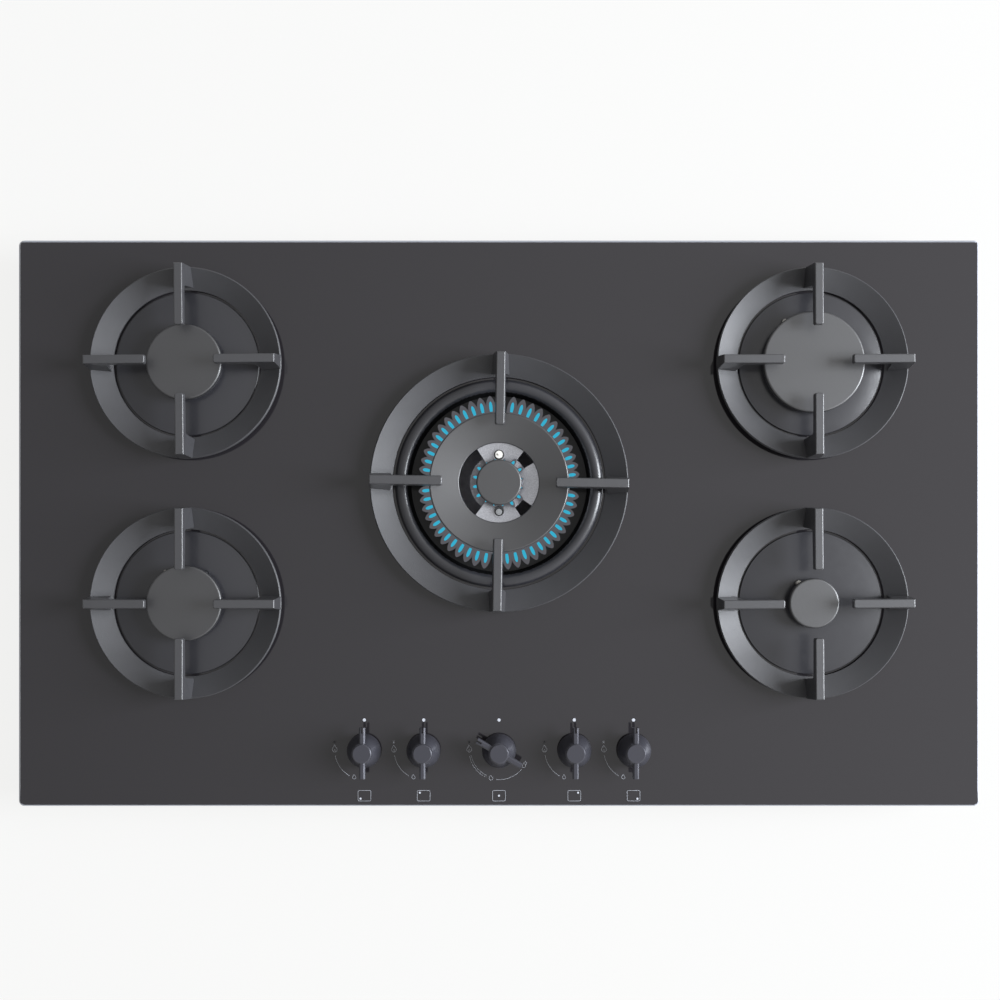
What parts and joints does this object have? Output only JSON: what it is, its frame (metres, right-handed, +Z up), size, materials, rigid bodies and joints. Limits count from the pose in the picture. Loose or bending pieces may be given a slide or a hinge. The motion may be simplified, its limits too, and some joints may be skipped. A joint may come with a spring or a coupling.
{
  "type": "built-in gas cooktop",
  "caption": "Built-in gas cooktop with single burners at the corners and a double-ring burner in the middle, cast pan supports on black glass, and a front row of press-and-turn knobs.",
  "frame": {"origin": "middle of the bounding box at the underside of the tray", "axes": "+X to the right and +Y to the rear as the cook sees it, with the knobs along the front, and +Z up"},
  "size_m": [0.9, 0.53, 0.093],
  "materials": {
    "black_glass": "polished, printed black underneath",
    "seal_foam": "closed-cell foam",
    "galvanised_steel": "galvanised sheet",
    "cast_aluminium": "die-cast, satin",
    "gloss_enamel": "glossy black vitreous enamel on steel",
    "matt_enamel": "satin dark enamel on steel",
    "cast_iron": "matt black enamel",
    "rubber": "moulded",
    "ceramic": "glazed alumina",
    "brass": "turned",
    "moulded_plastic": "moulded",
    "steel_tube": "zinc-plated",
    "knob_metal": "satin metallic lacquer"
  },
  "bodies": {
    "cooktop": {"glass_top": "black_glass", "worktop_seal": "seal_foam", "tray": "galvanised_steel", "tray_walls": "galvanised_steel", "burner_cup_lr": "cast_aluminium", "burner_cup_lf": "cast_aluminium", "burner_cup_rr": "cast_aluminium", "burner_cup_rf": "cast_aluminium", "burner_cup_centre": "cast_aluminium", "spill_dishes": "gloss_enamel", "drip_bowl": "gloss_enamel", "spark_electrodes": "ceramic", "flame_probes": "galvanised_steel", "jets": "brass", "tap_bodies": "brass", "ignition_switches": "moulded_plastic", "spindle_bushes": "moulded_plastic", "gas_rail": "steel_tube", "gas_pipes": "cast_aluminium", "inlet_elbow": "brass", "spark_generator": "moulded_plastic", "cable_gland": "galvanised_steel", "worktop_clamps": "galvanised_steel", "screws": "galvanised_steel"},
    "tap_1": {"tap_plug_1": "brass"},
    "knob_1": {"knob_1": "knob_metal", "spindle_1": "steel_tube"},
    "tap_2": {"tap_plug_2": "brass"},
    "knob_2": {"knob_2": "knob_metal", "spindle_2": "steel_tube"},
    "tap_3": {"tap_plug_3": "brass"},
    "knob_3": {"knob_3": "knob_metal", "spindle_3": "steel_tube"},
    "tap_4": {"tap_plug_4": "brass"},
    "knob_4": {"knob_4": "knob_metal", "spindle_4": "steel_tube"},
    "tap_5": {"tap_plug_5": "brass"},
    "knob_5": {"knob_5": "knob_metal", "spindle_5": "steel_tube"},
    "support_lr": {"pan_support_lr": "cast_iron", "rubber_feet_lr": "rubber"},
    "support_lf": {"pan_support_lf": "cast_iron", "rubber_feet_lf": "rubber"},
    "support_rr": {"pan_support_rr": "cast_iron", "rubber_feet_rr": "rubber"},
    "support_rf": {"pan_support_rf": "cast_iron", "rubber_feet_rf": "rubber"},
    "support_centre": {"pan_support_centre": "cast_iron", "rubber_feet_centre": "rubber"},
    "crown_lr": {"crown_lr": "cast_aluminium"},
    "crown_lf": {"crown_lf": "cast_aluminium"},
    "crown_rr": {"crown_rr": "cast_aluminium"},
    "crown_rf": {"crown_rf": "cast_aluminium"},
    "crown_centre": {"crown_centre": "cast_aluminium"},
    "cap_lr": {"cap_lr": "matt_enamel"},
    "cap_lf": {"cap_lf": "matt_enamel"},
    "cap_rr": {"cap_rr": "matt_enamel"},
    "cap_rf": {"cap_rf": "matt_enamel"},
    "cap_centre_ring": {"cap_centre_ring": "matt_enamel"},
    "cap_centre_hub": {"cap_centre_hub": "matt_enamel"}
  },
  "joints": [
    {"name": "tap_1_turn", "type": "hinge", "parent": "cooktop", "child": "tap_1", "pos_m": [-0.126, -0.2125, 0.022], "axis": [0, 0, 1], "range_deg": [0, 160]},
    {"name": "knob_1_press", "type": "slide", "parent": "tap_1", "child": "knob_1", "axis": [0, 0, -1], "range_m": [0, 0.003], "stiffness_N_per_m": 800, "springref_m": -0.002},
    {"name": "tap_2_turn", "type": "hinge", "parent": "cooktop", "child": "tap_2", "pos_m": [-0.0705, -0.2125, 0.022], "axis": [0, 0, 1], "range_deg": [0, 160]},
    {"name": "knob_2_press", "type": "slide", "parent": "tap_2", "child": "knob_2", "axis": [0, 0, -1], "range_m": [0, 0.003], "stiffness_N_per_m": 800, "springref_m": -0.002},
    {"name": "tap_3_turn", "type": "hinge", "parent": "cooktop", "child": "tap_3", "pos_m": [0, -0.2125, 0.022], "axis": [0, 0, 1], "range_deg": [-60, 180]},
    {"name": "knob_3_press", "type": "slide", "parent": "tap_3", "child": "knob_3", "axis": [0, 0, -1], "range_m": [0, 0.003], "stiffness_N_per_m": 800, "springref_m": -0.002},
    {"name": "tap_4_turn", "type": "hinge", "parent": "cooktop", "child": "tap_4", "pos_m": [0.0705, -0.2125, 0.022], "axis": [0, 0, 1], "range_deg": [0, 160]},
    {"name": "knob_4_press", "type": "slide", "parent": "tap_4", "child": "knob_4", "axis": [0, 0, -1], "range_m": [0, 0.003], "stiffness_N_per_m": 800, "springref_m": -0.002},
    {"name": "tap_5_turn", "type": "hinge", "parent": "cooktop", "child": "tap_5", "pos_m": [0.126, -0.2125, 0.022], "axis": [0, 0, 1], "range_deg": [0, 160]},
    {"name": "knob_5_press", "type": "slide", "parent": "tap_5", "child": "knob_5", "axis": [0, 0, -1], "range_m": [0, 0.003], "stiffness_N_per_m": 800, "springref_m": -0.002},
    {"name": "support_lr_lift", "type": "slide", "parent": "cooktop", "child": "support_lr", "axis": [0, 0, 1], "range_m": [0, 0.08]},
    {"name": "support_lf_lift", "type": "slide", "parent": "cooktop", "child": "support_lf", "axis": [0, 0, 1], "range_m": [0, 0.08]},
    {"name": "support_rr_lift", "type": "slide", "parent": "cooktop", "child": "support_rr", "axis": [0, 0, 1], "range_m": [0, 0.08]},
    {"name": "support_rf_lift", "type": "slide", "parent": "cooktop", "child": "support_rf", "axis": [0, 0, 1], "range_m": [0, 0.08]},
    {"name": "support_centre_lift", "type": "slide", "parent": "cooktop", "child": "support_centre", "axis": [0, 0, 1], "range_m": [0, 0.08]},
    {"name": "crown_lr_lift", "type": "slide", "parent": "cooktop", "child": "crown_lr", "axis": [0, 0, 1], "range_m": [0, 0.008]},
    {"name": "crown_lf_lift", "type": "slide", "parent": "cooktop", "child": "crown_lf", "axis": [0, 0, 1], "range_m": [0, 0.008]},
    {"name": "crown_rr_lift", "type": "slide", "parent": "cooktop", "child": "crown_rr", "axis": [0, 0, 1], "range_m": [0, 0.008]},
    {"name": "crown_rf_lift", "type": "slide", "parent": "cooktop", "child": "crown_rf", "axis": [0, 0, 1], "range_m": [0, 0.05]},
    {"name": "crown_centre_lift", "type": "slide", "parent": "cooktop", "child": "crown_centre", "axis": [0, 0, 1], "range_m": [0, 0.008]},
    {"name": "cap_lr_lift", "type": "slide", "parent": "crown_lr", "child": "cap_lr", "axis": [0, 0, 1], "range_m": [0, 0.008]},
    {"name": "cap_lf_lift", "type": "slide", "parent": "crown_lf", "child": "cap_lf", "axis": [0, 0, 1], "range_m": [0, 0.008]},
    {"name": "cap_rr_lift", "type": "slide", "parent": "crown_rr", "child": "cap_rr", "axis": [0, 0, 1], "range_m": [0, 0.008]},
    {"name": "cap_rf_lift", "type": "slide", "parent": "crown_rf", "child": "cap_rf", "axis": [0, 0, 1], "range_m": [0, 0.06]},
    {"name": "cap_centre_ring_lift", "type": "slide", "parent": "crown_centre", "child": "cap_centre_ring", "axis": [0, 0, 1], "range_m": [0, 0.008]},
    {"name": "cap_centre_hub_lift", "type": "slide", "parent": "crown_centre", "child": "cap_centre_hub", "axis": [0, 0, 1], "range_m": [0, 0.06]}
  ]
}
